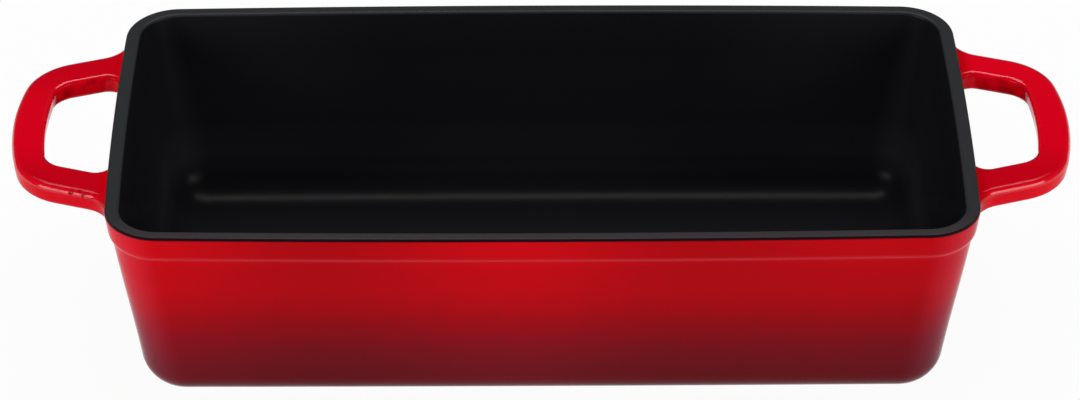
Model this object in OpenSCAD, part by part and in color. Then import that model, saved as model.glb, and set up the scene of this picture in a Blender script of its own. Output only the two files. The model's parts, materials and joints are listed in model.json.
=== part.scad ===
// Enamelled cast iron bread pan: one casting, with a loop handle at each end.
// The trough has drafted walls, a shallow band that stands out under the rim, and sides
// that bow outwards a little at the rim.
// X runs along the pan. The origin is the centre of the base, on the table.

/* [Pan] */
// Length over the rim, at the middle of the bowed ends
rim_l = 262.5; // [235:0.5:330]
// Width over the rim, at the middle of the bowed sides
rim_w = 130; // [122:0.5:165]
// Height of the rim above the table
pan_h = 66.5; // [55:0.5:95]
// Radius of the rim's corners, seen from above
corner_r = 16.5; // [15:0.5:20]
// How far each long side bows outwards at the rim
side_bow = 1.75; // [0.5:0.05:3]
// How far each end bows outwards at the rim
end_bow = 1.25; // [0.5:0.05:2.5]

/* [Walls] */
// Lean of the outer wall, which lets the casting leave its mould
draft = 7; // [3:0.5:9]
// Lean of the inner wall: more than the outer, so the wall thickens downwards
inner_draft = 8; // [6:0.5:10]
// Thickness of the wall at the rim, band included
rim_t = 4.5; // [3.5:0.1:7]
// Thickness of the floor
floor_t = 5; // [3.5:0.5:8]
// Radius of the wall's corners at the foot, before the base edge is rounded
foot_corner_r = 14; // [13:0.5:20]
// Radius of the cavity's corners at the floor, before the floor edge is rounded
floor_corner_r = 12.5; // [12:0.5:18]
// Radius between the wall and the base
base_r = 11.5; // [6:0.5:13]
// Radius between the inner wall and the floor
floor_r = 12; // [6:0.5:12]

/* [Rim and band] */
// Height of the band under the rim
band_h = 9.2; // [6:0.2:14]
// How far the band stands out from the wall
band_out = 0.9; // [0.4:0.1:1.6]
// Height over which the band's lower edge rounds back to the wall
band_edge_h = 2.7; // [2:0.1:4]
// Radius of the rim's outer edge
rim_outer_r = 1; // [0.4:0.1:1.6]
// Radius of the rim's inner edge
rim_inner_r = 1.2; // [0.4:0.1:1.6]

/* [Handles] */
// How far each handle reaches past the rim
handle_reach = 31.2; // [27:0.1:40]
// Thickness of the handles
handle_t = 7.1; // [4.5:0.1:9]
// Lean of the handles' sides: the bars narrow and the finger holes widen downwards
handle_draft = 7; // [2:0.5:9]
// Depth of the handles' top face below the rim
handle_drop = 1.2; // [0.6:0.1:3]
// Width across each handle where it leaves the rim
handle_w = 80.4; // [74:0.2:86]
// Width of the end bar that the fingers hold
grip_w = 10.8; // [8:0.1:13]
// Width of each side bar, measured along the rim
side_bar_w = 12.9; // [9:0.1:15]
// Angle by which the side bars lean towards each other
taper = 18.5; // [8:0.5:22]
// Radius of the handle's outer corners
handle_corner_r = 20; // [14:0.5:22]
// Radius of the finger hole's corners
hole_corner_r = 8; // [5:0.5:10]
// Radius of the shallow curve along the handle's end
handle_end_r = 95; // [70:5:400]
// Radius of the shallow curve along the hole's end
hole_end_r = 130; // [100:10:600]
// Radius of the flare where a side bar's outer edge meets the rim
root_r = 9.5; // [4:0.5:11]
// Radius of the hole's corners at the rim
hole_root_r = 4; // [2:0.5:5]
// Rounding of the handles' upper outer edge
handle_edge_r = 2.6; // [1.4:0.1:2.8]
// Rounding of the handles' lower outer edge
handle_under_r = 1.4; // [0.8:0.1:1.6]
// Rounding of the finger holes' edges
hole_edge_r = 1.1; // [0.6:0.1:2.2]

/* [Smoothness] */
// Steps in each corner, seen from above
corner_steps = 12; // [6:14]
// Steps in each bowed side, an even number
side_steps = 8; // [4:2:12]
// Steps in each rounded edge
edge_steps = 5; // [3:6]
// Steps in the large curve at the foot of each wall
foot_steps = 7; // [4:9]

/* [Hidden] */

red_enamel = [0.76, 0.06, 0.1];
black_enamel = [0.09, 0.09, 0.1];

// Share of the bow that is left at the table, where the sides run almost straight
foot_bow = 0.1;
// Height by which the cavity is cut on past the rim
cut_over = 1;
// Depth to which a handle's root runs on into the wall, and its flares' ends lie under the face
root_bite = 2.5;
root_sink = 0.2;

// Radius of the band's lower edge, and the angle that it turns through
band_edge_r = (band_edge_h * band_edge_h + band_out * band_out) / (2 * band_out);
band_edge_a = asin(band_edge_h / band_edge_r);

function lerp(a, b, t) = a + (b - a) * t;

// Points along an arc, both ends included
function arc(centre, r, from, to, steps) =
    [for (i = [0:steps]) centre + r * [cos(lerp(from, to, i / steps)), sin(lerp(from, to, i / steps))]];

// The same without its last point, for a curve that the next arc carries on
function joined_arc(centre, r, from, to, steps) =
    [for (i = [0:steps - 1]) centre + r * [cos(lerp(from, to, i / steps)), sin(lerp(from, to, i / steps))]];

// Centre of a circle of radius r that touches two larger circles from inside
function centre_between(c1, r1, c2, r2, r) =
    let(
        apart = norm(c2 - c1),
        along = (pow(r1 - r, 2) - pow(r2 - r, 2) + apart * apart) / (2 * apart),
        across = sqrt(pow(r1 - r, 2) - along * along),
        u = (c2 - c1) / apart
    )
    c1 + along * u + across * [-u.y, u.x];

// Bow of a side, as a share of the bow at the rim
function bow_share(z) = lerp(foot_bow, 1, z / pan_h);

// Outline of the pan at height z: four shallow arcs joined by corner arcs of radius r.
// inset is how far the outline lies inside that of the rim.
function outline(z, inset, r) =
    let(
        out_x = end_bow * bow_share(z),
        out_y = side_bow * bow_share(z),
        half_l = rim_l / 2 - end_bow - inset,
        half_w = rim_w / 2 - side_bow - inset,
        end_r = (half_w * half_w + out_x * out_x) / (2 * out_x),
        side_r = (half_l * half_l + out_y * out_y) / (2 * out_y),
        end_c = [half_l + out_x - end_r, 0],
        side_c = [0, half_w + out_y - side_r],
        c = centre_between(end_c, end_r, side_c, side_r, r),
        a = atan2(c.y, c.x - end_c.x),
        b = atan2(c.y - side_c.y, c.x)
    )
    concat(
        joined_arc(end_c, end_r, -a, a, side_steps),
        joined_arc(c, r, a, b, corner_steps),
        joined_arc(side_c, side_r, b, 180 - b, side_steps),
        joined_arc([-c.x, c.y], r, 180 - b, 180 - a, corner_steps),
        joined_arc(-end_c, end_r, 180 - a, 180 + a, side_steps),
        joined_arc(-c, r, 180 + a, 180 + b, corner_steps),
        joined_arc(-side_c, side_r, 180 + b, 360 - b, side_steps),
        joined_arc([c.x, -c.y], r, 360 - b, 360 - a, corner_steps)
    );

// Solid through a stack of closed loops that all have the same number of points.
// Each loop turns anticlockwise, seen from the stack's far end.
module loft(loops) {
    n = len(loops[0]);
    last = len(loops) - 1;
    polyhedron(
        points = [for (loop = loops) each loop],
        faces = [
            [for (i = [0:n - 1]) i],
            for (k = [0:last - 1], i = [0:n - 1])
                let(j = (i + 1) % n) each [
                    [k * n + i, (k + 1) * n + i, (k + 1) * n + j],
                    [k * n + i, (k + 1) * n + j, k * n + j]
                ],
            [for (i = [n - 1:-1:0]) last * n + i]
        ]
    );
}

// Solid through the pan's outlines at the levels [height, inset, corner radius]
module stack(levels) {
    loft([for (l = levels) [for (p = outline(l[0], l[1], l[2])) [p.x, p.y, l[0]]]]);
}

// Inset of the band, of the outer wall and of the inner wall at height z, measured from the
// rim's outline
function band_inset(z) = (pan_h - rim_outer_r - z) * tan(draft);
function wall_inset(z) = band_out + band_inset(z);
function cavity_inset(z) = rim_t + (pan_h - z) * tan(inner_draft);

// Levels of the curve of radius r at the foot of a wall that leans by lean and is inset by
// inset at height z0. The wall's corner radius foot_r tightens as the curve turns under.
function foot_levels(z0, r, lean, inset, foot_r) =
    let(c = inset + r * (1 / cos(lean) - tan(lean)))
    [for (i = [0:foot_steps])
        let(
            a = (90 - lean) * i / foot_steps,
            z = z0 + r * (1 - cos(a)),
            at = c - r * sin(a),
            wall_at = inset - (z - z0) * tan(lean)
        )
        [z, at, foot_r - (at - wall_at)]];

outer_levels = concat(
    foot_levels(0, base_r, draft, wall_inset(0), foot_corner_r),
    // The band's lower edge rounds out from the wall until it runs into the band's face
    [for (i = [edge_steps:-1:0])
        let(
            a = band_edge_a * i / edge_steps,
            z = pan_h - band_h + band_edge_h - band_edge_r * sin(a),
            inset = band_inset(z) + band_edge_r * (1 - cos(a))
        )
        [z, inset, corner_r - inset]],
    // The rim's outer edge
    [for (p = arc([rim_outer_r, pan_h - rim_outer_r], rim_outer_r, 180, 90, edge_steps))
        [p.y, p.x, corner_r - p.x]]
);

cavity_levels = concat(
    foot_levels(floor_t, floor_r, inner_draft, cavity_inset(floor_t), floor_corner_r),
    // The rim's inner edge opens outwards to the flat top of the rim
    [for (p = arc([rim_t - rim_inner_r, pan_h - rim_inner_r], rim_inner_r, 0, 90, edge_steps))
        [p.y, p.x, corner_r - p.x]],
    [[pan_h + cut_over, rim_t - rim_inner_r, corner_r - rim_t + rim_inner_r]]
);

module body() {
    color(red_enamel) stack(outer_levels);
}

module cavity() {
    color(black_enamel) stack(cavity_levels);
}

// Place of the rim's end face at distance y from the middle
function end_face(y) = rim_l / 2 - end_bow * pow(y / (rim_w / 2 - side_bow), 2);

// Half of one edge of a handle, seen from above: the arc at its root, the straight side
// bar, the corner, and the shallow end curve as far as the middle. The root arc turns away
// from the hole for the outer edge (turn = 1) and into it for the hole (turn = -1).
function handle_edge(width, tip, end_r, r, foot_r, turn) =
    let(
        root = [end_face(width / 2) - root_sink, width / 2],
        end_c = [tip - end_r, 0],
        along = [cos(taper), -sin(taper)],
        from = root - r * [sin(taper), cos(taper)] - end_c,
        reach = sqrt(pow(from * along, 2) - from * from + pow(end_r - r, 2)) - from * along,
        corner_c = end_c + from + reach * along,
        corner_a = atan2(corner_c.y, corner_c.x - end_c.x),
        foot_c = root + foot_r * [1, turn / cos(taper) - tan(taper)]
    )
    concat(
        [foot_c - [foot_r + root_bite, 0]],
        arc(foot_c, foot_r, 180, 180 + turn * 90 - taper, edge_steps),
        arc(corner_c, r, 90 - taper, corner_a, corner_steps),
        [for (i = [1:side_steps / 2]) let(a = corner_a * (1 - 2 * i / side_steps))
            end_c + end_r * [cos(a), sin(a)]]
    );

// Rounded cross-section of a bar between its hole edge and its outer edge, which both lean in
// by the handle's draft. lean is the angle at which the whole section slopes back towards the
// pan on its way down.
function bar_section(hole, outer, lean) =
    let(
        w = norm(outer - hole),
        u = (outer - hole) / w,
        r = handle_edge_r,
        under = handle_under_r,
        h = hole_edge_r,
        outer_side = concat(
            arc([w - under, under - handle_t], under, 270, 360, edge_steps),
            arc([w - r, -r], r, 0, 90, edge_steps)),
        hole_side = concat(
            arc([h, -h], h, 90, 180, edge_steps),
            arc([h, h - handle_t], h, 180, 270, edge_steps)),
        section = concat(
            [for (q = outer_side) [q.x + q.y * tan(handle_draft), q.y]],
            [for (q = hole_side) [q.x - q.y * tan(handle_draft), q.y]])
    )
    [for (q = section)
        [hole.x + u.x * q.x + q.y * tan(lean), hole.y + u.y * q.x, pan_h - handle_drop + q.y]];

// Lean of section i: the draft of the rim's face at the root, none where the flares end
function root_lean(i) = draft * min(1, max(0, 1 - (i - 1) / edge_steps));

module handle() {
    tip = rim_l / 2 + handle_reach;
    outer = handle_edge(handle_w, tip, handle_end_r, handle_corner_r, root_r, 1);
    hole = handle_edge(handle_w - 2 * side_bar_w, tip - grip_w, hole_end_r, hole_corner_r, hole_root_r, -1);
    near = [for (i = [0:len(outer) - 1]) bar_section(hole[i], outer[i], root_lean(i))];
    // The other half is its mirror image, from the middle of the end back to the rim
    far = [for (k = [len(near) - 2:-1:0]) [for (p = near[k]) [p.x, -p.y, p.z]]];
    color(red_enamel) loft(concat(near, far));
}

module pan() {
    difference() {
        union() {
            body();
            for (side = [0, 180]) rotate([0, 0, side]) handle();
        }
        cavity();
    }
}

pan();
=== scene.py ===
# %% [markdown]
# # A red enamelled cast iron bread pan
#
# The real pan is one casting with a loop handle at each end. Sand casting gives it leaning walls
# and soft corners, and a coat of glass, the enamel, gives it its colour: bright red outside, sprayed
# darker towards the foot, and satin black inside and on top of the rim.
#
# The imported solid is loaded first. It stays where it is, and everything here is measured from it.

# %% Load the frame
import math
import json

import bmesh
import bpy
from mathutils import Matrix, Vector

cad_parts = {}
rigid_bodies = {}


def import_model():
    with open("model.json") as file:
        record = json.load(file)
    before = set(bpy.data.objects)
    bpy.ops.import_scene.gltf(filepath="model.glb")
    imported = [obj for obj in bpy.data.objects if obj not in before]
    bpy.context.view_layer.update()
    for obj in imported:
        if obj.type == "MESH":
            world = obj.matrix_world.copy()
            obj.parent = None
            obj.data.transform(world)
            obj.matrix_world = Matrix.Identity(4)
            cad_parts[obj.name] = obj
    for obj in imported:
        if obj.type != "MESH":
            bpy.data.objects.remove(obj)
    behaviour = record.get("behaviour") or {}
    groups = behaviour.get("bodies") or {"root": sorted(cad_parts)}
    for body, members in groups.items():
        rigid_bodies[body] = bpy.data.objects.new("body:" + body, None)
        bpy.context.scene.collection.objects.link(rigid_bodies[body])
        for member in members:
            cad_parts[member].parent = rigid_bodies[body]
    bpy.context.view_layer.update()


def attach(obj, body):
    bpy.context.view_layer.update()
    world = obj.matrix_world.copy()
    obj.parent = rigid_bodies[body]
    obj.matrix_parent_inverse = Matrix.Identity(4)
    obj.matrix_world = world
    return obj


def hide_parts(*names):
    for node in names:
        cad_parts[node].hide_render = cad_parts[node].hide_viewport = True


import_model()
bpy.context.scene.view_settings.view_transform = "Standard"
mm = 0.001


def in_mm(lengths):
    """Lengths in millimetres, rounded for printing."""
    return [round(length / mm, 2) for length in lengths]


# %% [markdown]
# ## The camera
#
# The photograph was taken with a long lens from in front and about 35 degrees above. A camera can be
# placed by hand and aimed with a constraint, but turning it by three named angles is exact and easy
# to read: tilt down, swing a little to one side, and a hair of roll.

# %% Place the camera
look_down = math.radians(34.8769)
swing = math.radians(-0.50446)
roll = math.radians(0.06347)
camera_distance = 1.359019
aim_point = Vector((-0.000398, 0, 0.035729))
sensor_width_mm = 36
focal_in_picture_widths = 4.051140
nearest_seen, farthest_seen = 0.05, 50

bpy.ops.object.select_all(action="DESELECT")
bpy.ops.object.camera_add()
camera = bpy.context.object
camera.name = "photo_camera"
camera.data.sensor_width = sensor_width_mm
camera.data.lens = focal_in_picture_widths * sensor_width_mm
turned = Matrix.Rotation(swing, 4, "Z")
back_from_aim = Vector((0, -math.cos(look_down), math.sin(look_down))) * camera_distance
tilt = Matrix.Rotation(math.pi / 2 - look_down, 4, "X") @ Matrix.Rotation(roll, 4, "Z")
camera.matrix_world = turned @ Matrix.Translation(aim_point + back_from_aim) @ tilt
camera.data.clip_start, camera.data.clip_end = nearest_seen, farthest_seen
bpy.context.scene.camera = camera
print("camera at", in_mm(camera.matrix_world.translation), "mm, lens", round(camera.data.lens, 1), "mm")

# %% [markdown]
# ## Sizes of the casting
#
# The same sizes as in the solid's source, in metres. The wall leans so that the pattern leaves the
# sand, and the trough's corners keep almost one radius all the way down. They could be read off the
# solid instead, but named sizes can be changed one at a time.

# %% Sizes
rim_l, rim_w, pan_h = 262.5 * mm, 130 * mm, 66.5 * mm
corner_r, side_bow, end_bow, bow_left_at_foot = 16.5 * mm, 1.75 * mm, 1.25 * mm, 0.1
draft, inner_draft = math.radians(7), math.radians(8)
rim_t, floor_t = 4.5 * mm, 5 * mm
foot_corner_r, floor_corner_r = 14 * mm, 12.5 * mm
base_r, floor_r = 11.5 * mm, 12 * mm
band_h, band_out, band_edge_h = 9.2 * mm, 0.9 * mm, 2.7 * mm
rim_outer_r, rim_inner_r = 1 * mm, 1.2 * mm
band_edge_r = (band_edge_h**2 + band_out**2) / (2 * band_out)
band_edge_a = math.asin(band_edge_h / band_edge_r)


def band_inset(z):
    """How far the band's leaning face lies inside the rim's outline at height z."""
    return (pan_h - rim_outer_r - z) * math.tan(draft)


def wall_inset(z):
    """The same for the wall below the band."""
    return band_out + band_inset(z)


def cavity_inset(z):
    """The same for the wall of the cavity."""
    return rim_t + (pan_h - z) * math.tan(inner_draft)


print("wall", round((cavity_inset(floor_t) - wall_inset(floor_t)) / mm, 2), "mm thick near the floor")

# %% [markdown]
# ## Tools for drawing in edit mode
#
# Blender draws an arc by spinning a point about the arc's centre. With no window open the spin turns
# clockwise about an axis, so the axis is pointed downwards. Selections are made in code, by place,
# because there is no mouse.

# %% Drawing tools
same_height = 0.001 * mm


def start_mesh(name):
    """An empty mesh at the origin, open in edit mode, ready to be drawn in."""
    bpy.ops.object.select_all(action="DESELECT")
    bpy.ops.mesh.primitive_plane_add(size=mm)
    made = bpy.context.object
    made.name = name
    made.data.name = name
    bpy.ops.object.mode_set(mode="EDIT")
    bpy.ops.mesh.delete(type="VERT")
    return made


def put_point(x, y, z):
    """A single selected point: a tiny plane merged at its middle."""
    bpy.ops.mesh.select_mode(type="VERT")
    bpy.ops.mesh.select_all(action="DESELECT")
    bpy.ops.mesh.primitive_plane_add(size=mm, location=(x, y, z))
    bpy.ops.mesh.merge(type="CENTER")


def spin_point(centre, angle, steps, z):
    """Spins the selected point about centre, anticlockwise for a positive angle."""
    bpy.ops.mesh.spin(steps=steps, angle=angle, center=(centre.x, centre.y, z), axis=(0, 0, -1))


def pick(test, kind="verts"):
    """Selects the verts, edges or faces that pass a test, and nothing else."""
    bpy.ops.mesh.select_mode(type={"verts": "VERT", "edges": "EDGE", "faces": "FACE"}[kind])
    bpy.ops.mesh.select_all(action="DESELECT")
    mesh = bmesh.from_edit_mesh(bpy.context.object.data)
    for part in getattr(mesh, kind):
        if test(part):
            part.select_set(True)
    mesh.select_flush_mode()
    bmesh.update_edit_mesh(bpy.context.object.data)


def at_height(z):
    """A test for the points at height z."""
    return lambda vert: abs(vert.co.z - z) < same_height


print("heights within", same_height / mm, "mm count as one")

# %% [markdown]
# ## The trough's outline
#
# Seen from above, the pan isn't a rounded rectangle: each side bows outwards by a millimetre or two,
# and less at the foot than at the rim. A plane with bevelled corners would be quicker, but its
# sides would be straight. This outline is four shallow arcs joined by four corner arcs that touch
# them without a kink. One point is spun through a quarter of it, and the quarter is copied and
# flipped twice.

# %% Outline
corner_steps, side_steps, end_steps = 20, 24, 12
seam_gap = 0.1 * mm


def mix(a, b, t):
    """The number a share t of the way from a to b."""
    return a + (b - a) * t


def centre_between(c1, r1, c2, r2, r):
    """Centre of a circle of radius r that touches two larger circles from inside."""
    apart = (c2 - c1).length
    along = ((r1 - r) ** 2 - (r2 - r) ** 2 + apart**2) / (2 * apart)
    across = math.sqrt((r1 - r) ** 2 - along**2)
    u = (c2 - c1) / apart
    return c1 + along * u + across * Vector((-u.y, u.x))


def fill_loop():
    """Fills the selected loop with one face and leaves that face selected."""
    bpy.ops.mesh.edge_face_add()
    bpy.ops.mesh.select_mode(type="FACE")


def draw_outline(z, inset, r):
    """Draws the pan's outline at height z, inset from the rim's, and fills it with one face."""
    bow = mix(bow_left_at_foot, 1, z / pan_h)
    out_x, out_y = end_bow * bow, side_bow * bow
    half_l, half_w = rim_l / 2 - end_bow - inset, rim_w / 2 - side_bow - inset
    end_r = (half_w**2 + out_x**2) / (2 * out_x)
    side_r = (half_l**2 + out_y**2) / (2 * out_y)
    end_c, side_c = Vector((half_l + out_x - end_r, 0)), Vector((0, half_w + out_y - side_r))
    c = centre_between(end_c, end_r, side_c, side_r, r)
    a, b = math.atan2(c.y, c.x - end_c.x), math.atan2(c.y - side_c.y, c.x)
    put_point(end_c.x + end_r, 0, z)
    spin_point(end_c, a, end_steps, z)
    spin_point(c, b - a, corner_steps, z)
    spin_point(side_c, math.pi / 2 - b, side_steps, z)
    for flip in ((-1, 1, 1), (1, -1, 1)):
        pick(lambda vert: at_height(z)(vert) and not vert.link_faces)
        bpy.ops.mesh.duplicate()
        bpy.ops.transform.resize(value=flip, center_override=(0, 0, 0))
    pick(lambda vert: at_height(z)(vert) and not vert.link_faces)
    bpy.ops.mesh.remove_doubles(threshold=seam_gap)
    fill_loop()


print("points in each outline:", 4 * (corner_steps + side_steps + end_steps))

# %% [markdown]
# ## Insets from level to level
#
# A casting's walls are equally thick round their corners, and an inset keeps them so, which scaling
# wouldn't. The face at the end of a wall is inset and moved in one step, again and again, so that
# each level of a curve is one inset. The way the face looks decides which way it moves.

# %% Inset tools
def inset_through(levels):
    """Insets the selected face from level to level, each a height and an inset from the rim."""
    for (z0, inset0), (z1, inset1) in zip(levels, levels[1:]):
        mesh = bmesh.from_edit_mesh(bpy.context.object.data)
        up = next(f for f in mesh.faces if f.select).normal.z
        bpy.ops.mesh.inset(
            thickness=inset1 - inset0,
            depth=math.copysign(1, up) * (z1 - z0),
            use_boundary=True,
            use_even_offset=True,
        )


def open_loop(z):
    """A test for the edges that lie at height z and belong to fewer than two faces."""
    level = at_height(z)
    return lambda edge: len(edge.link_faces) < 2 and all(level(v) for v in edge.verts)


print("inset tools:", inset_through.__name__, "and", open_loop.__name__)

# %% [markdown]
# ## The rim and its band
#
# A shallow band stands out under the rim and stiffens it. The rim's outline is filled, and downwards
# that face follows the band's leaning side and the rounding under it. Upwards it rounds over the
# rim's outer edge, crosses the flat top and rounds down into the trough. A profile swept along the
# outline would give the same shape, but would bunch up at the tight corners.

# %% Rim and band
body = start_mesh("bread_pan")
edge_steps = 6
rim_z = pan_h - rim_outer_r
crease_z = pan_h - band_h
edge_top_z = crease_z + band_edge_h
half_way = mix(rim_z, edge_top_z, 0.5)
band_levels = [(rim_z, 0), (half_way, band_inset(half_way))]
for i in range(edge_steps + 1):
    a = band_edge_a * i / edge_steps
    z = edge_top_z - band_edge_r * math.sin(a)
    band_levels.append((z, band_inset(z) + band_edge_r * (1 - math.cos(a))))

quarter = [math.pi / 2 * i / edge_steps for i in range(1, edge_steps + 1)]
rim_levels = [(rim_z, 0)]
for a in quarter:
    rim_levels.append((rim_z + rim_outer_r * math.sin(a), rim_outer_r * (1 - math.cos(a))))
flat_to = rim_t - rim_inner_r
rim_levels += [(pan_h, mix(rim_outer_r, flat_to, 0.5)), (pan_h, flat_to)]
for a in quarter:
    level = pan_h - rim_inner_r * (1 - math.cos(a)), flat_to + rim_inner_r * math.sin(a)
    rim_levels.append(level)

draw_outline(rim_z, 0, corner_r)
inset_through(band_levels)
bpy.ops.mesh.delete(type="ONLY_FACE")
pick(open_loop(rim_z), "edges")
fill_loop()
inset_through(rim_levels)
bpy.ops.mesh.delete(type="ONLY_FACE")
print("rim and band:", len(band_levels) + len(rim_levels), "levels")

# %% [markdown]
# ## Foot, floor and walls
#
# The wall turns under in one large curve, outside and inside, so that the iron fills the mould and
# the bread comes out of the pan. A bevel along the foot would give the same curve, but would leave
# slivers at the corners. So both curves are drawn like the rim, as an outline that is inset level by
# level, and end in the flat base and the flat floor. The long walls between them are then bridged
# from loop to loop.

# %% Foot, floor and walls
curve_steps, wall_cuts = 12, 9


def curve_levels(z0, r, lean, inset_at_z0):
    """Levels of the curve of radius r between a leaning wall and a flat face at height z0."""
    turn_in = inset_at_z0 + r * (1 / math.cos(lean) - math.tan(lean))
    levels = []
    for i in range(curve_steps, -1, -1):
        a = (math.pi / 2 - lean) * i / curve_steps
        levels.append((z0 + r * (1 - math.cos(a)), turn_in - r * math.sin(a)))
    return levels


foot_levels = curve_levels(0, base_r, draft, wall_inset(0))
floor_levels = curve_levels(floor_t, floor_r, inner_draft, cavity_inset(floor_t))
for levels, r in ((foot_levels, foot_corner_r), (floor_levels, floor_corner_r)):
    draw_outline(*levels[0], r)
    inset_through(levels)

outer_wall = crease_z, foot_levels[0][0]
cavity_wall = pan_h - rim_inner_r, floor_levels[0][0]
for z_high, z_low in (outer_wall, cavity_wall):
    upper, lower = open_loop(z_high), open_loop(z_low)
    pick(lambda edge: upper(edge) or lower(edge), "edges")
    bpy.ops.mesh.bridge_edge_loops(number_cuts=wall_cuts)
bpy.ops.mesh.select_all(action="SELECT")
bpy.ops.mesh.normals_make_consistent(inside=False)
bpy.ops.object.mode_set(mode="OBJECT")
print("trough:", len(body.data.polygons), "faces")

# %% [markdown]
# ## Sizes of the loop handles
#
# Each handle is a flat bar bent round a finger hole. Its side bars lean towards each other, its far
# end is a shallow curve, and its roots flare where they run into the rim. Its sides have draft, like
# the walls: the bar gets a little narrower downwards, and the hole wider. The hole could be a
# smaller copy of the outline, but the bar isn't equally wide all round, so each has its own sizes.

# %% Handle sizes
handle_reach, handle_t, handle_drop = 31.2 * mm, 7.1 * mm, 1.2 * mm
handle_w, grip_w, side_bar_w = 80.4 * mm, 10.8 * mm, 12.9 * mm
taper, handle_draft = math.radians(18.5), math.radians(7)
handle_corner_r, hole_corner_r = 20 * mm, 8 * mm
handle_end_r, hole_end_r = 95 * mm, 130 * mm
root_r, hole_root_r = 9.5 * mm, 4 * mm
handle_edge_r, handle_under_r, hole_edge_r = 2.6 * mm, 1.4 * mm, 1.8 * mm
root_bite, root_sink, kept_inside = 3.9 * mm, 0.2 * mm, 0.02 * mm
root_steps, bar_steps, bend_steps, grip_steps = 10, 4, 14, 12
handle_top = pan_h - handle_drop
tip = rim_l / 2 + handle_reach - kept_inside
print("handles", round(2 * tip / mm, 2), "mm from tip to tip")

# %% [markdown]
# ## The edges of a handle
#
# The bar's outer edge and the hole's edge are two curves of arcs and straight runs that touch without
# a kink, as on the pattern the real handle was moulded from. Each is drawn like the trough's outline,
# by spinning and moving one point from root to root, and is kept as a vertex group, so that it can be
# rounded by itself later. A curve object with a section would be quicker, but it keeps one width all
# the way round, and this bar doesn't.

# %% Handle edge tool
def end_face(y):
    """Place of the rim's bowed end at distance y from the middle."""
    return rim_l / 2 - end_bow * (y / (rim_w / 2 - side_bow)) ** 2


def draw_run(dx, dy, steps):
    """Draws a straight run from the selected point."""
    for _ in range(steps):
        step = (dx / steps, dy / steps, 0)
        bpy.ops.mesh.extrude_region_move(TRANSFORM_OT_translate={"value": step})


def keep_group(name):
    """Keeps the line that was drawn last as a vertex group."""
    bpy.ops.mesh.select_linked()
    bpy.ops.object.vertex_group_add()
    bpy.context.object.vertex_groups.active.name = name
    bpy.ops.object.vertex_group_assign()


def draw_handle_edge(group, width, tip, end_r, r, foot_r, turn):
    """Draws one edge of the handle from one root to the other; turn is 1 outside and -1 inside."""
    root = Vector((end_face(width / 2) - root_sink, width / 2))
    end_c = Vector((tip - end_r, 0))
    along = Vector((math.cos(taper), -math.sin(taper)))
    across = Vector((math.sin(taper), math.cos(taper)))
    start = root - r * across - end_c
    reach = math.sqrt((start @ along) ** 2 - start @ start + (end_r - r) ** 2) - start @ along
    bend_c = end_c + start + reach * along
    grip_a = math.atan2(bend_c.y, bend_c.x - end_c.x)
    bend_a = math.pi / 2 - taper - grip_a
    foot_c = root + foot_r * Vector((1, turn / math.cos(taper) - math.tan(taper)))
    foot_a = turn * math.pi / 2 - taper
    foot_end = foot_c - foot_r * Vector((math.cos(foot_a), math.sin(foot_a)))
    bar = bend_c + r * across - foot_end

    put_point(foot_c.x - foot_r - root_bite, foot_c.y, handle_top)
    draw_run(root_bite, 0, 1)
    spin_point(foot_c, foot_a, root_steps, handle_top)
    draw_run(bar.x, bar.y, bar_steps)
    spin_point(bend_c, -bend_a, bend_steps, handle_top)
    spin_point(end_c, -2 * grip_a, grip_steps, handle_top)
    spin_point(Vector((bend_c.x, -bend_c.y)), -bend_a, bend_steps, handle_top)
    draw_run(-bar.x, bar.y, bar_steps)
    spin_point(Vector((foot_c.x, -foot_c.y)), foot_a, root_steps, handle_top)
    draw_run(-root_bite, 0, 1)
    keep_group(group)


print("roots reach", round(root_bite / mm, 1), "mm into the wall")

# %% [markdown]
# ## One handle bar
#
# The two edges are joined at the roots and filled with one flat face. That face is inset a little
# while it moves down, which gives the sides their draft. A strip of four-sided faces would be so thin
# at the flares that the rounding would run wild there, and one face with many sides has no such
# trouble.

# %% Draw one handle
handle = start_mesh("handle")
hole_w = handle_w - 2 * side_bar_w
draw_handle_edge("outer_edge", handle_w, tip, handle_end_r, handle_corner_r, root_r, 1)
draw_handle_edge("hole_edge", hole_w, tip - grip_w, hole_end_r, hole_corner_r, hole_root_r, -1)
for side in (1, -1):
    pick(lambda vert: len(vert.link_edges) == 1 and vert.co.y * side > 0)
    bpy.ops.mesh.edge_face_add()
bpy.ops.mesh.select_all(action="SELECT")
fill_loop()
inset_through([(handle_top, 0), (handle_top - handle_t, handle_t * math.tan(handle_draft))])
pick(lambda edge: len(edge.link_faces) == 1, "edges")
bpy.ops.mesh.edge_face_add()
bpy.ops.object.mode_set(mode="OBJECT")
heights = in_mm([v.co.z for v in handle.data.vertices])
print("handle bar:", len(handle.data.polygons), "faces, z", min(heights), "to", max(heights), "mm")

# %% [markdown]
# ## Rounded edges
#
# Fingers hold the real bar, and enamel chips off a sharp edge, so its long edges are rounded: most on
# the upper outer edge, less below and round the hole. A bevel on the whole bar would give them one
# radius. Here each edge is picked by its vertex group and its height and bevelled by itself. Seams
# mark the hole's edges meanwhile, because a bevel makes new points and mixes up the groups.

# %% Round the edges
half_height = handle_top - handle_t / 2
under_below = half_height - 0.3 * handle_t
level_within, group_from = 0.01 * mm, 0.5
shoulder_steps, under_steps, hole_steps = 8, 5, 6


def in_group(vert, group):
    """Whether the point belongs to that edge of the bar; the inset has blended the weights."""
    layer = bmesh.from_edit_mesh(handle.data).verts.layers.deform.active
    return vert[layer].get(handle.vertex_groups[group].index, 0) > group_from


def long_edges(group, lowest, highest):
    """A test for the level edges of one side of the bar, between two heights."""
    return lambda edge: all(
        in_group(v, group) and lowest < v.co.z < highest for v in edge.verts
    ) and (abs(edge.verts[0].co.z - edge.verts[1].co.z) < level_within)


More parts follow.
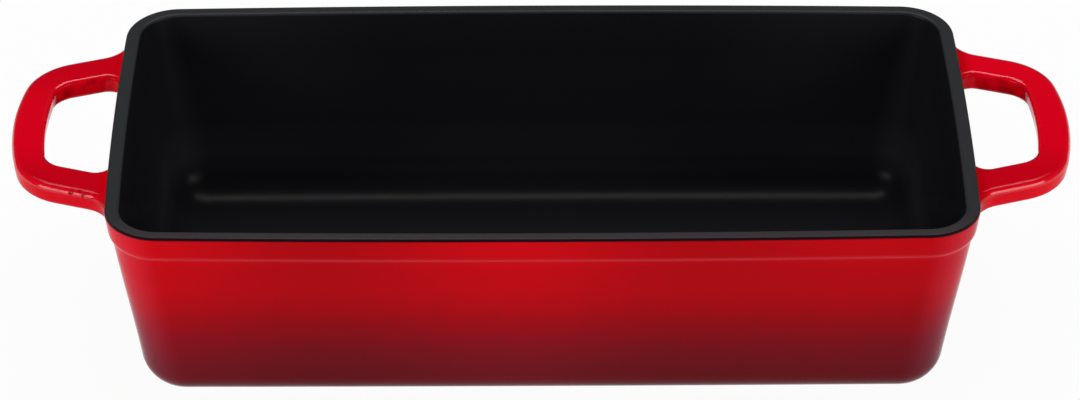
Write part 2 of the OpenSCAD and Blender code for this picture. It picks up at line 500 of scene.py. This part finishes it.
bpy.ops.object.mode_set(mode="EDIT")
pick(long_edges("hole_edge", 0, pan_h), "edges")
bpy.ops.mesh.mark_seam()
pick(long_edges("outer_edge", half_height, pan_h), "edges")
bpy.ops.mesh.bevel(offset=handle_edge_r, segments=shoulder_steps, affect="EDGES")
pick(long_edges("outer_edge", 0, under_below), "edges")
bpy.ops.mesh.bevel(offset=handle_under_r, segments=under_steps, affect="EDGES")
pick(lambda edge: edge.seam, "edges")
bpy.ops.mesh.bevel(offset=hole_edge_r, segments=hole_steps, affect="EDGES")
bpy.ops.mesh.select_all(action="SELECT")
bpy.ops.mesh.mark_seam(clear=True)
bpy.ops.mesh.normals_make_consistent(inside=False)
bpy.ops.object.mode_set(mode="OBJECT")
print("rounded handle:", len(handle.data.polygons), "faces")

# %% [markdown]
# ## One casting
#
# The second handle is a copy turned half a circle about the pan's middle. Handles that only poke into
# the wall would look right, but a Boolean union makes the trough and both handles one closed skin, as
# the iron is, with nothing left inside the wall.

# %% Join the casting
bpy.ops.object.select_all(action="DESELECT")
handle.select_set(True)
bpy.context.view_layer.objects.active = handle
bpy.ops.object.duplicate()
bpy.ops.transform.rotate(value=math.pi, orient_axis="Z", center_override=(0, 0, 0))
bpy.ops.object.transform_apply(location=True, rotation=True, scale=True)
handle.select_set(True)
bpy.context.view_layer.objects.active = handle
bpy.ops.object.join()

bpy.ops.object.select_all(action="DESELECT")
body.select_set(True)
bpy.context.view_layer.objects.active = body
bpy.ops.object.modifier_add(type="BOOLEAN")
union = body.modifiers[-1]
union.operation, union.solver, union.object = "UNION", "EXACT", handle
bpy.ops.object.modifier_apply(modifier=union.name)
bpy.data.objects.remove(handle)
print("joined casting:", len(body.data.polygons), "faces")

# %% [markdown]
# ## A smooth skin
#
# Iron from the mould has no facets. Points that the union left on top of each other are merged, edges
# flatter than 30 degrees are shaded smooth, and the large flat faces are made to outweigh the narrow
# ones next to them, which keeps flat places looking flat. More faces would do the same at a price.

# %% Smooth skin
merge_within, smooth_below, face_weight = 0.002 * mm, math.radians(30), 80
bpy.ops.object.mode_set(mode="EDIT")
bpy.ops.mesh.select_all(action="SELECT")
bpy.ops.mesh.remove_doubles(threshold=merge_within)
bpy.ops.object.mode_set(mode="OBJECT")
bpy.ops.object.shade_smooth_by_angle(angle=smooth_below)
bpy.ops.object.modifier_add(type="WEIGHTED_NORMAL")
weighted = body.modifiers[-1]
weighted.keep_sharp, weighted.weight = True, face_weight
bpy.ops.object.modifier_apply(modifier=weighted.name)
skin = bmesh.new()
skin.from_mesh(body.data)
gaps = sum(not edge.is_manifold for edge in skin.edges)
print("casting:", len(skin.faces), "faces, open edges", gaps)
print("volume", round(skin.calc_volume() / mm**3), "mm3")
skin.free()

# %% [markdown]
# ## Tools for the finishes
#
# A finish is a web of shader nodes. By hand they are dragged in and wired. Here a few helpers add a
# node, set its numbers and wire its inputs, so that each finish reads as a list of steps.

# %% Node tools
def wire(tree, target, value):
    """Links another node's output to an input, or sets the input to a plain value."""
    if isinstance(value, bpy.types.NodeSocket):
        tree.links.new(value, target)
    else:
        target.default_value = value


def add(tree, kind, inputs=None, **settings):
    """Adds a node, sets its properties and sets or wires its named inputs."""
    node = tree.nodes.new(kind)
    for key, value in settings.items():
        setattr(node, key, value)
    for label, value in (inputs or {}).items():
        wire(tree, node.inputs[label], value)
    return node


def maths(tree, operation, *values):
    """A sum, a product or the like of plain values or other nodes' outputs."""
    node = add(tree, "ShaderNodeMath", operation=operation)
    for target, value in zip(node.inputs, values):
        wire(tree, target, value)
    return node.outputs["Value"]


def graded(tree, value, at, to, smooth=False):
    """Turns a value that runs through at = (low, high) into one that runs through to = (a, b)."""
    inputs = {"Value": value, "From Min": at[0], "From Max": at[1], "To Min": to[0], "To Max": to[1]}
    kind = "SMOOTHSTEP" if smooth else "LINEAR"
    return add(tree, "ShaderNodeMapRange", inputs, interpolation_type=kind).outputs["Result"]


print("node tools:", ", ".join(tool.__name__ for tool in (wire, add, maths, graded)))

# %% [markdown]
# ## Tools for colour, unevenness and relief
#
# Coats of enamel lie over each other, so colours are laid over one another by masks. Unevenness comes
# from noise, and relief from bumps that bend the light. Images could do all of this, but noise has no
# seams and no end.

# %% Colour tools
def laid_over(tree, mask, under, over):
    """Lays one colour over another where the mask is 1."""
    inputs = {"Factor": mask, "A": under, "B": over}
    node = add(tree, "ShaderNodeMix", data_type="RGBA")
    for label, value in inputs.items():
        wire(tree, node.inputs[label], value)
    return node.outputs["Result"]


def scaled(tree, colour, factor):
    """A colour made brighter or darker."""
    inputs = {0: colour, "Scale": factor}
    return add(tree, "ShaderNodeVectorMath", inputs, operation="SCALE").outputs["Vector"]


def colour_ramp(tree, value, stops, interpolation):
    """A colour ramp through stops of (position, colour)."""
    node = add(tree, "ShaderNodeValToRGB", {"Fac": value})
    node.color_ramp.interpolation = interpolation
    elements = node.color_ramp.elements
    for where, _ in stops[1:-1]:
        elements.new(where)
    for element, (_, colour) in zip(elements, stops):
        element.color = (*colour, 1)
    return node.outputs["Color"]


def noise(tree, vector, scale, detail):
    """Soft random patches, about 1 / scale of a metre across."""
    inputs = {"Vector": vector, "Scale": scale, "Detail": detail}
    return add(tree, "ShaderNodeTexNoise", inputs).outputs["Fac"]


def bumped(tree, height, strength, distance, over=None):
    """Relief of a height, on top of other relief if there is any."""
    inputs = {"Strength": strength, "Distance": distance, "Height": height}
    if over is not None:
        inputs["Normal"] = over
    return add(tree, "ShaderNodeBump", inputs).outputs["Normal"]


print("colour tools:", ", ".join(t.__name__ for t in (laid_over, scaled, colour_ramp, noise, bumped)))

# %% [markdown]
# ## Tools for groups and finishes
#
# An effect that both enamels use is a node group, made once and placed in each with its own values,
# instead of being wired twice. A new finish begins with the place on the piece, because everything
# about this enamel depends on where it lies.

# %% Group tools
def start_group(name, inputs, outputs):
    """An empty node group with float inputs (name, default) and float outputs, and its two ends."""
    group = bpy.data.node_groups.new(name, "ShaderNodeTree")
    new_socket = group.interface.new_socket
    for label, value in inputs:
        new_socket(label, in_out="INPUT", socket_type="NodeSocketFloat").default_value = value
    for label in outputs:
        new_socket(label, in_out="OUTPUT", socket_type="NodeSocketFloat")
    ends_in, ends_out = group.nodes.new("NodeGroupInput"), group.nodes.new("NodeGroupOutput")
    return group, ends_in.outputs, ends_out.inputs


def start_finish(name):
    """A new material: its node tree, its shader, and the place on the piece, whole and as x, y, z."""
    finish = bpy.data.materials.new(name)
    finish.use_nodes = True
    tree = finish.node_tree
    place = tree.nodes.new("ShaderNodeTexCoord").outputs["Object"]
    split = add(tree, "ShaderNodeSeparateXYZ", {"Vector": place})
    return finish, tree, tree.nodes["Principled BSDF"], place, *split.outputs


print("group tools:", start_group.__name__, "and", start_finish.__name__)

# %% [markdown]
# ## Uneven glass
#
# Molten enamel settles in slow waves a few millimetres long, with a fine orange peel on them. It could
# be sculpted, but two layers of noise in a bump do it at any distance. Both enamels use it.

# %% Uneven glaze group
peel_share, wave_detail, peel_detail = 0.12, 1.5, 2.0
glaze, ends_in, ends_out = start_group(
    "uneven_glaze", [("Wave scale", 120), ("Peel scale", 900)], ["Height", "Mottle"]
)
place = glaze.nodes.new("ShaderNodeTexCoord").outputs["Object"]
waves = noise(glaze, place, ends_in["Wave scale"], wave_detail)
peel = noise(glaze, place, ends_in["Peel scale"], peel_detail)
wire(glaze, ends_out["Height"], maths(glaze, "MULTIPLY_ADD", peel, peel_share, waves))
wire(glaze, ends_out["Mottle"], waves)
print("glaze group:", len(glaze.nodes), "nodes")

# %% [markdown]
# ## Where the black ends
#
# The black of the trough runs over the rim and ends on its outer edge, in a line that wanders a
# little because the enamel flowed. It could be an edge between two materials, but that would be as
# sharp as a knife. A mask over the height gives a soft line, and the same mask, with other heights,
# parts the grey of the rim from the black inside.

# %% Edge of the black group
wander, wander_scale, wander_detail, noise_middle = 0.1 * mm, 240, 2.0, 0.5
black_line, ends_in, ends_out = start_group("edge_of_black", [("Lower", 0), ("Upper", 1)], ["Mask"])
place = black_line.nodes.new("ShaderNodeTexCoord").outputs["Object"]
height = add(black_line, "ShaderNodeSeparateXYZ", {"Vector": place}).outputs["Z"]
drift = noise(black_line, place, wander_scale, wander_detail)
drift = maths(black_line, "SUBTRACT", drift, noise_middle)
height = maths(black_line, "MULTIPLY_ADD", drift, wander, height)
mask = graded(black_line, height, (ends_in["Lower"], ends_in["Upper"]), (0, 1), smooth=True)
wire(black_line, ends_out["Mask"], mask)
print("edge of black group:", len(black_line.nodes), "nodes")

# %% [markdown]
# ## Red enamel: two sprays
#
# Enamel is coloured glass melted onto the iron. The red is sprayed on, and towards the foot a second
# spray of dark red is laid over it, so that the colour fades to maroon. Two materials with a soft
# mask would show where they meet. A colour ramp over the height above the table passes through the
# reds in between, and the mottle moves it up and down a little.

# %% Red enamel: the fade
red, tree, shader, place, x, y, z = start_finish("red_enamel")
uneven = add(tree, "ShaderNodeGroup", node_tree=glaze)
fade_from, fade_to, fade_mottle = 9.5 * mm, 65.5 * mm, 5 * mm
fade_stops = [
    (0.0, (0.192, 0.0088, 0.0160)),
    (0.13, (0.215, 0.0078, 0.0150)),
    (0.32, (0.300, 0.0045, 0.0120)),
    (0.50, (0.440, 0.0018, 0.0070)),
    (0.65, (0.565, 0.0008, 0.0060)),
    (0.85, (0.625, 0.0004, 0.0056)),
    (1.0, (0.660, 0.0004, 0.0056)),
]
mottled_z = maths(tree, "MULTIPLY_ADD", uneven.outputs["Mottle"], fade_mottle, z)
fade = graded(tree, mottled_z, (fade_from, fade_to), (0, 1))
fade = colour_ramp(tree, fade, fade_stops, "CARDINAL")
print("fade from", *in_mm([fade_from]), "to", *in_mm([fade_to]), "mm above the table")

# %% [markdown]
# ## Red enamel: slow waves of tone
#
# The red is made a little deeper and paler in turn along the pan, deepest on the band, and its paler
# peaks fade towards the right-hand end. Noise would scatter such patches anywhere. A slow cosine
# along the pan keeps them evenly spaced, and scales the colour.

# %% Red enamel: the waves of tone
tone_wave_length, tone_wave_phase = 115 * mm, 0.45
wall_z, band_z = 42 * mm, 64 * mm
wall_tone, band_tone, end_tone = 0.82, 0.70, 0.77
tone_wave = maths(tree, "MULTIPLY_ADD", x, 2 * math.pi / tone_wave_length, tone_wave_phase)
tone_wave = maths(tree, "COSINE", tone_wave)
deepest = graded(tree, z, (wall_z, band_z), (wall_tone, band_tone))
palest = graded(tree, x, (0, rim_l / 2), (1, end_tone))
wall_red = scaled(tree, fade, graded(tree, tone_wave, (-1, 1), (deepest, palest)))
print("tone wave every", round(tone_wave_length / mm), "mm")

# %% [markdown]
# ## Red enamel: painted highlight along the band's edge
#
# A pale red line is painted along the foot of the band: a painted highlight where the rounded edge
# catches the light. The line could be cut out as faces of its own. A narrow mask round that height
# lets the paler red through and leaves the faces alone.

# %% Red enamel: painted highlight on the band's edge
edge_highlight_red, edge_highlight_share = (0.620, 0.0150, 0.0330, 1), 0.55
edge_highlight_width, above_crease = 1.5 * mm, 0.6 * mm


def near_height(tree, z, centre, full, none, share, smooth=False):
    """A mask that is share within full of a height, and fades to nothing at none from it."""
    away = maths(tree, "ABSOLUTE", maths(tree, "SUBTRACT", z, centre))
    return graded(tree, away, (full, none), (share, 0), smooth)


# Painted highlight: a pale red line along the foot of the band.
edge_highlight = near_height(tree, z, crease_z + above_crease, 0, edge_highlight_width, edge_highlight_share, smooth=True)
wall_red = laid_over(tree, edge_highlight, wall_red, edge_highlight_red)
print("pale line", round(2 * edge_highlight_width / mm, 1), "mm wide")

# %% [markdown]
# ## Red enamel: painted light on the corners
#
# The wall's rounded corners are painted a little brighter and rosier: a painted highlight where the
# side lamps catch them. The distance to the end and the distance to the side, both measured along the
# leaning walls, are small together only at a corner, so their product makes the mask. A mask painted
# by hand would have to be painted again for every change of size.

# %% Red enamel: painted light on the corners
corner_highlight_gain, corner_highlight_tint = 1.22, (0, 0.015, 0.027)
end_full, end_none, side_full, side_none = 4 * mm, 16.5 * mm, 8 * mm, 24 * mm
lean_in = maths(tree, "MULTIPLY", maths(tree, "SUBTRACT", pan_h, z), math.tan(draft))


def near_wall(along, half, full, none):
    """A mask that is 1 within full of a leaning wall, and fades to nothing at none from it."""
    reach = maths(tree, "ADD", maths(tree, "ABSOLUTE", along), lean_in)
    return graded(tree, maths(tree, "SUBTRACT", half, reach), (full, none), (1, 0), smooth=True)


near_end = near_wall(x, rim_l / 2, end_full, end_none)
near_side = near_wall(y, rim_w / 2, side_full, side_none)
# Painted highlight: the corners of the wall are brightened and tinted rosy.
inputs = {0: scaled(tree, wall_red, corner_highlight_gain), 1: corner_highlight_tint}
corner_highlight = add(tree, "ShaderNodeVectorMath", inputs, operation="ADD").outputs["Vector"]
wall_red = laid_over(tree, maths(tree, "MULTIPLY", near_end, near_side), wall_red, corner_highlight)
print("corners", round((corner_highlight_gain - 1) * 100), "percent brighter")

# %% [markdown]
# ## Red enamel: the handles
#
# The handles keep the first, bright coat. Light and shade are painted into it: the tops of the near
# bars and of the far left bar are painted darker and the far right top a little lighter, the sides of
# the near bars lighter and the sides of the far bars darker, as in the shade of the finger holes. The
# sides are also mottled. Each bar could have a material of its own, but one coat that changes along x
# and y has no joints. The place alone tells the bars apart: y parts the near bar from the far one, and
# z parts the top from the sides.

# %% Red enamel: the handles
handle_red = (0.765, 0.0004, 0.0120)
near_top_shade, far_top_left_shade, far_top_right_light = 0.80, 0.82, 1.03
near_side_light, far_side_shade, side_lit_peak = 1.04, 0.74, 1.10
mottle_low, mottle_high = 0.35, 0.65
side_from, side_to = handle_top - 0.9 * mm, handle_top - 0.1 * mm
bar_y = handle_w / 2 - side_bar_w
bar_from, bar_to, parted_at = 0.4 * bar_y, 1.1 * bar_y, 0.2 * bar_y

# Painted light and shade: each bar's top and sides get their own brightness.
near_top_painted_shade = graded(tree, y, (-bar_to, -bar_from), (near_top_shade, 1), smooth=True)
far_top_painted_light = graded(tree, x, (-rim_l / 2, rim_l / 2), (far_top_left_shade, far_top_right_light))
top_painted_light = maths(tree, "MULTIPLY", near_top_painted_shade, graded(tree, y, (bar_from, bar_to), (1, far_top_painted_light)))
far_bar = graded(tree, y, (-parted_at, parted_at), (0, 1))
dimpled = add(tree, "ShaderNodeGroup", {"Wave scale": 260, "Peel scale": 700}, node_tree=glaze)
side_painted_level = graded(tree, far_bar, (0, 1), (near_side_light, far_side_shade))
mottle = dimpled.outputs["Mottle"]
side_painted_light_and_mottle = graded(tree, mottle, (mottle_low, mottle_high), (side_painted_level, side_lit_peak), smooth=True)
on_sides = graded(tree, z, (side_from, side_to), (1, 0), smooth=True)
bars_red = scaled(tree, handle_red, graded(tree, on_sides, (0, 1), (top_painted_light, side_painted_light_and_mottle)))
print("near and far bars parted within", round(2 * parted_at / mm, 1), "mm")

# %% [markdown]
# ## Red enamel: painted shade on the far shoulders
#
# The far shoulders of the bars, where the rounding turns away from the lamps, are painted a dark
# purple red: painted shade. A second colour could be assigned to those faces, but it would end at
# their edges. This mask reads the way the surface faces on the piece, not the way it is looked at:
# away from the front, and no longer flat.

# %% Red enamel: painted shade on the far shoulders
# Painted shade: the far shoulders of the bars are darkened to a purple red.
far_shoulder_shade_colour = (0.150, 0.0040, 0.0500, 1)
faces_away, faces_up = (0.06, 0.22), (0.955, 0.993)
shade_below, shade_above = handle_top - 0.50 * mm, handle_top - 0.32 * mm
handle_from, handle_to = rim_l / 2 - 1 * mm, rim_l / 2 + 4 * mm
facing = tree.nodes.new("ShaderNodeTexCoord").outputs["Normal"]
facing = add(tree, "ShaderNodeSeparateXYZ", {"Vector": facing}).outputs
far_side = graded(tree, facing["Y"], faces_away, (0, 1), smooth=True)
rounded = graded(tree, facing["Z"], faces_up, (1, 0), smooth=True)
upper = graded(tree, z, (shade_below, shade_above), (0, 1), smooth=True)
far_shoulder_shade = maths(tree, "MULTIPLY", maths(tree, "MULTIPLY", far_side, rounded), upper)
bars_red = laid_over(tree, far_shoulder_shade, bars_red, far_shoulder_shade_colour)

from_middle = maths(tree, "ABSOLUTE", x)
on_handle = graded(tree, from_middle, (handle_from, handle_to), (0, 1), smooth=True)
colour = laid_over(tree, on_handle, wall_red, bars_red)
print("handles begin", *in_mm([handle_to]), "mm from the middle")

# %% [markdown]
# ## Red enamel: where the glass gathered
#
# Along the outer shoulder of the near bars, and along the upper edge of the finger hole on the far
# ones, the molten glass gathered and is glossiest. Both are strips at a known height, so two narrow
# masks find them. A brighter lamp would light every other edge as well.

# %% Red enamel: glossy edges
shoulder_z, shoulder_full, shoulder_none = handle_top - 1.2 * mm, 0.9 * mm, 1.1 * mm
line_z, line_full, line_none = handle_top - 0.24 * mm, 0.19 * mm, 0.23 * mm
near_bar = maths(tree, "SUBTRACT", 1, far_bar)
near_shoulder = near_height(tree, z, shoulder_z, shoulder_full, shoulder_none, near_bar)
far_line = near_height(tree, z, line_z, line_full, line_none, far_bar)
gathered = maths(tree, "MAXIMUM", near_shoulder, far_line)
print("glossy strips at z", *in_mm([shoulder_z, line_z]), "mm")

# %% [markdown]
# ## Red enamel: pinholes
#
# Gas from the iron broke through the glass near the left handle's root and left a row of pinholes.
# They could be modelled, but they are finer than the mesh. They are dark specks cut out of a fine
# noise, kept to one short strip by masks, and they take the gloss away too.

# %% Red enamel: pinholes
pinhole_scale, pinhole_detail, speck_from, speck_to = 900, 1.0, 0.60, 0.65
pinhole_red, pinhole_share = (0.070, 0.0040, 0.0080, 1), 0.5
row_from, row_to = -rim_l / 2 - 16 * mm, -rim_l / 2 - 12 * mm
specks = noise(tree, place, pinhole_scale, pinhole_detail)
pinholes = graded(tree, specks, (speck_from, speck_to), (0, 1), smooth=True)
left_share = graded(tree, x, (-rim_l / 2, rim_l / 2), (1, 0))
near_root = graded(tree, x, (row_from, row_to), (0, 1), smooth=True)
for mask in (near_shoulder, left_share, near_root, on_handle):
    pinholes = maths(tree, "MULTIPLY", pinholes, mask)
colour = laid_over(tree, maths(tree, "MULTIPLY", pinholes, pinhole_share), colour, pinhole_red)
print("pinholes up to", round(1000 / pinhole_scale, 1), "mm across")

# %% [markdown]
# ## Red enamel: relief
#
# The wall has only the slow waves. On the narrow bars the glass is dimpled, more on the left handle,
# and the pinholes are small pits. All of it is too shallow to model. Three bumps, each over the one
# before, break up the highlights as the real relief does.

# %% Red enamel: relief
wave_depth, dimple_depth, pit_depth = 0.08 * mm, 0.35 * mm, 0.12 * mm
right_dimples, left_dimples, pit_strength = 0.35, 0.55, 0.6
dimples = graded(tree, left_share, (0, 1), (right_dimples, left_dimples))
dimples = maths(tree, "MULTIPLY", dimples, on_handle)
pits = maths(tree, "SUBTRACT", 1, pinholes)
relief = bumped(tree, uneven.outputs["Height"], 1, wave_depth)
relief = bumped(tree, dimpled.outputs["Height"], dimples, dimple_depth, relief)
relief = bumped(tree, pits, pit_strength, pit_depth, relief)
wire(tree, shader.inputs["Normal"], relief)
print("waves", *in_mm([wave_depth]), "mm and dimples up to", *in_mm([dimple_depth]), "mm deep")

# %% [markdown]
# ## Red enamel: the black edge and the gloss
#
# The black of the rim ends on the outer rounding, and in front its last bit is painted near black, a
# painted shade along the rounding. The red is glossy, and where the glass gathered it has the strongest
# highlight, as a clear coat with a weight that varies. A lower roughness would only make the highlight
# smaller. The black is satin.

# %% Red enamel: edge and gloss
rim_black, front_edge_shade = (0.031, 0.032, 0.035, 1), (0.0110, 0.0040, 0.0070, 1)
line_low, line_high = pan_h - 0.85 * mm, pan_h - 0.50 * mm
front_from, front_to = -rim_w / 2 + 2 * mm, -rim_w / 2 + 14 * mm
red_rough, black_rough, coat_low, coat_high = 0.12, 0.45, 0.05, 0.85
edge = add(tree, "ShaderNodeGroup", {"Lower": line_low, "Upper": line_high}, node_tree=black_line)
in_front = graded(tree, y, (front_from, front_to), (1, 0), smooth=True)
# Painted shade: in front, the last bit of black on the outer rounding is darkened.
rim_black_and_shade = laid_over(tree, in_front, rim_black, front_edge_shade)
colour = laid_over(tree, edge.outputs["Mask"], colour, rim_black_and_shade)
wire(tree, shader.inputs["Base Color"], colour)
roughness = graded(tree, edge.outputs["Mask"], (0, 1), (red_rough, black_rough))
wire(tree, shader.inputs["Roughness"], roughness)
coat = graded(tree, gathered, (0, 1), (coat_low, coat_high))
coat = maths(tree, "MULTIPLY", coat, maths(tree, "SUBTRACT", on_handle, pinholes))
wire(tree, shader.inputs["Coat Weight"], coat)
shader.inputs["Coat Roughness"].default_value = 0.10
shader.inputs["Specular IOR Level"].default_value = 0.035
print("red enamel:", len(tree.nodes), "nodes")

# %% [markdown]
# ## Black enamel: the trough
#
# Inside the enamel is black and satin, and light is painted into it: a colour ramp over the height
# paints the walls a little greyer low down, the long walls are painted greyer towards the ends, and
# the end walls, which the lamps light, are painted darker. One black would look flat, so the ramp
# gives the greys and masks along the pan scale them.

# %% Black enamel: the trough
black, tree, shader, place, x, y, z = start_finish("black_enamel")
trough_painted_greys = [0.0105, 0.0115, 0.0205, 0.0215, 0.0180, 0.0118, 0.0100, 0.0082, 0.0086]
grey_at = [0, 0.07, 0.15, 0.22, 0.29, 0.44, 0.62, 0.80, 1]
green_share, blue_share = 0.94, 1.13
side_painted_light_gain, end_painted_shade_gain = 1.55, 0.75
sides_from, sides_to = 0.17 * rim_l, 0.36 * rim_l
ends_from, ends_to = 0.42 * rim_l, 0.46 * rim_l
side_light_from, side_light_to = floor_t + 6 * mm, floor_t + 14 * mm
grey_stops = [(at, (grey, green_share * grey, blue_share * grey)) for at, grey in zip(grey_at, trough_painted_greys)]
# Painted light: greys over the height, lighter on the long walls towards the ends, darker on the end
# walls.
trough_painted_black = colour_ramp(tree, graded(tree, z, (floor_t, pan_h), (0, 1)), grey_stops, "EASE")
from_middle = maths(tree, "ABSOLUTE", x)
sides_painted_light = graded(tree, from_middle, (sides_from, sides_to), (1, side_painted_light_gain), smooth=True)
sides_painted_light_high = graded(tree, z, (side_light_from, side_light_to), (1, sides_painted_light), smooth=True)
ends_painted_shade = graded(tree, from_middle, (ends_from, ends_to), (1, end_painted_shade_gain), smooth=True)
trough_painted_black = scaled(tree, trough_painted_black, maths(tree, "MULTIPLY", sides_painted_light_high, ends_painted_shade))
print("trough:", len(grey_stops), "greys from floor to rim")

# %% [markdown]
# ## Black enamel: the worn rim
#
# On top of the rim the coat is worn by lids and hands, most of all in front, so it is a dark grey
# there. It could be a third material, but the mask that ends the black outside serves here too. A fine
# grain in the roughness and the relief keeps the black from looking like plastic.

# %% Black enamel: the worn rim
worn_rim = (0.047, 0.0405, 0.0435, 1)
worn_from, worn_to = -rim_w / 2 + 3 * mm, -rim_w / 2 + 14 * mm
rim_low, rim_high = pan_h - 0.9 * mm, pan_h - 0.2 * mm
smooth_rough, grainy_rough, grain_depth = 0.27, 0.34, 0.03 * mm
worn = graded(tree, y, (worn_from, worn_to), (1, 0), smooth=True)
rim_grey = laid_over(tree, worn, rim_black, worn_rim)
edge = add(tree, "ShaderNodeGroup", {"Lower": rim_low, "Upper": rim_high}, node_tree=black_line)
colour = laid_over(tree, edge.outputs["Mask"], trough_painted_black, rim_grey)
wire(tree, shader.inputs["Base Color"], colour)
uneven = add(tree, "ShaderNodeGroup", node_tree=glaze)
roughness = graded(tree, uneven.outputs["Mottle"], (0, 1), (smooth_rough, grainy_rough))
wire(tree, shader.inputs["Roughness"], roughness)
wire(tree, shader.inputs["Normal"], bumped(tree, uneven.outputs["Height"], 1, grain_depth))
shader.inputs["Specular IOR Level"].default_value = 0.09
print("black enamel:", len(tree.nodes), "nodes")

# %% [markdown]
# ## Each face gets its enamel
#
# The real pan is sprayed outside and inside one after the other, and the line at the rim is wiped
# clean. Here the red goes everywhere first. Then the faces of the trough and of the rim's flat top
# take the black. They could be picked by hand, but a test of where they are and which way they face
# still works when a size changes.

# %% Give each face its enamel
top_within, floor_within, flat_up = 0.02 * mm, 0.1 * mm, 0.99
handle_side = rim_l / 2 - 3 * mm
for enamel in (red, black):
    body.data.materials.append(enamel)
bpy.ops.object.mode_set(mode="EDIT")


def is_black(face):
    """Faces on top of the rim, on its inner rounding and inside the trough."""
    c = face.calc_center_median()
    if c.z > pan_h - top_within:
        return True
    if abs(c.x) > handle_side:
        return False
    outward = face.normal.x * c.x / rim_l + face.normal.y * c.y / rim_w
    if c.z > pan_h - rim_outer_r:
        return outward < 0 or face.normal.z > flat_up
    on_floor = abs(c.z - floor_t) < floor_within and face.normal.z > 0
    return on_floor or (outward < 0 and c.z > floor_t - floor_within)


pick(is_black, "faces")
body.active_material_index = 1
bpy.ops.object.material_slot_assign()
bpy.ops.object.mode_set(mode="OBJECT")
print("black faces:", sum(p.material_index == 1 for p in body.data.polygons))
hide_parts("pan")
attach(body, "root")

# %% [markdown]
# ## The floor
#
# The pan stands on white paper. In this light plain paper looks grey, and more light would wash out
# the pan. So for rays from the camera, a reflection or glass the paper is mostly a glow of pure
# white, with a little of the plain paper in it, which takes the pan's shadow. For all other rays it
# is plain pale paper.

# %% Floor
floor_size, floor_z, white_share = 16, -0.05 * mm, 0.95
paper_white = (0.9, 0.9, 0.9, 1)
bpy.ops.object.select_all(action="DESELECT")
bpy.ops.mesh.primitive_plane_add(size=floor_size, location=(0, 0, floor_z))
floor = bpy.context.object
floor.name = "floor"
paper = bpy.data.materials.new("white_paper")
paper.use_nodes = True
tree = paper.node_tree
shader = tree.nodes["Principled BSDF"]
shader.inputs["Base Color"].default_value = paper_white
shader.inputs["Roughness"].default_value = 0.9
shader.inputs["Specular IOR Level"].default_value = 0.0
glow = add(tree, "ShaderNodeEmission", {"Strength": 1})
rays = tree.nodes.new("ShaderNodeLightPath").outputs
seen = maths(tree, "MAXIMUM", rays["Is Camera Ray"], rays["Is Glossy Ray"])
seen = maths(tree, "MAXIMUM", seen, rays["Is Transmission Ray"])
seen = maths(tree, "MULTIPLY", seen, white_share)
inputs = {"Fac": seen, 1: shader.outputs["BSDF"], 2: glow.outputs["Emission"]}
blend = add(tree, "ShaderNodeMixShader", inputs)
wire(tree, tree.nodes["Material Output"].inputs["Surface"], blend.outputs["Shader"])
floor.data.materials.append(paper)
print("floor", floor_size, "m wide")

# %% [markdown]
# ## The room and the lamps
#
# The room is almost dark. One large soft box hangs overhead and lights the rim and the handles' tops,
# and two stand low in front, one to each side. They draw the bright bands along the near shoulders
# and round the corners of the wall. One lamp in front would put a single spot in the middle of the
# wall instead.

# %% Room and lamps
room_light = 0.05
pan_middle = Vector((0, 0, 0.03))
to_side, above_floor, front_distance = math.radians(50), math.radians(16), 1.3
world = bpy.data.worlds.new("room")
bpy.context.scene.world = world
world.use_nodes = True
world.node_tree.nodes["Background"].inputs["Color"].default_value = (1, 1, 1, 1)
world.node_tree.nodes["Background"].inputs["Strength"].default_value = room_light


def soft_box(name, width, height, place, power):
    """A rectangular lamp that shines on the middle of the pan."""
    lamp = bpy.data.lights.new(name, "AREA")
    lamp.shape = "RECTANGLE"
    lamp.size, lamp.size_y = width, height
    lamp.energy = power
    box = bpy.data.objects.new(name, lamp)
    bpy.context.scene.collection.objects.link(box)
    box.location = place
    box.rotation_euler = (pan_middle - Vector(place)).to_track_quat("-Z", "Y").to_euler()


soft_box("soft_box_overhead", width=1.4, height=0.6, place=(0, 0.37, 1.14), power=10.8)
out, up = front_distance * math.cos(above_floor), front_distance * math.sin(above_floor)
for name, side, power in (("soft_box_left", -1, 6.6), ("soft_box_right", 1, 6.9)):
    place = (side * out * math.sin(to_side), -out * math.cos(to_side), up)
    soft_box(name, width=0.8, height=0.6, place=place, power=power)
print("lamps:", ", ".join(lamp.name for lamp in bpy.data.lights))
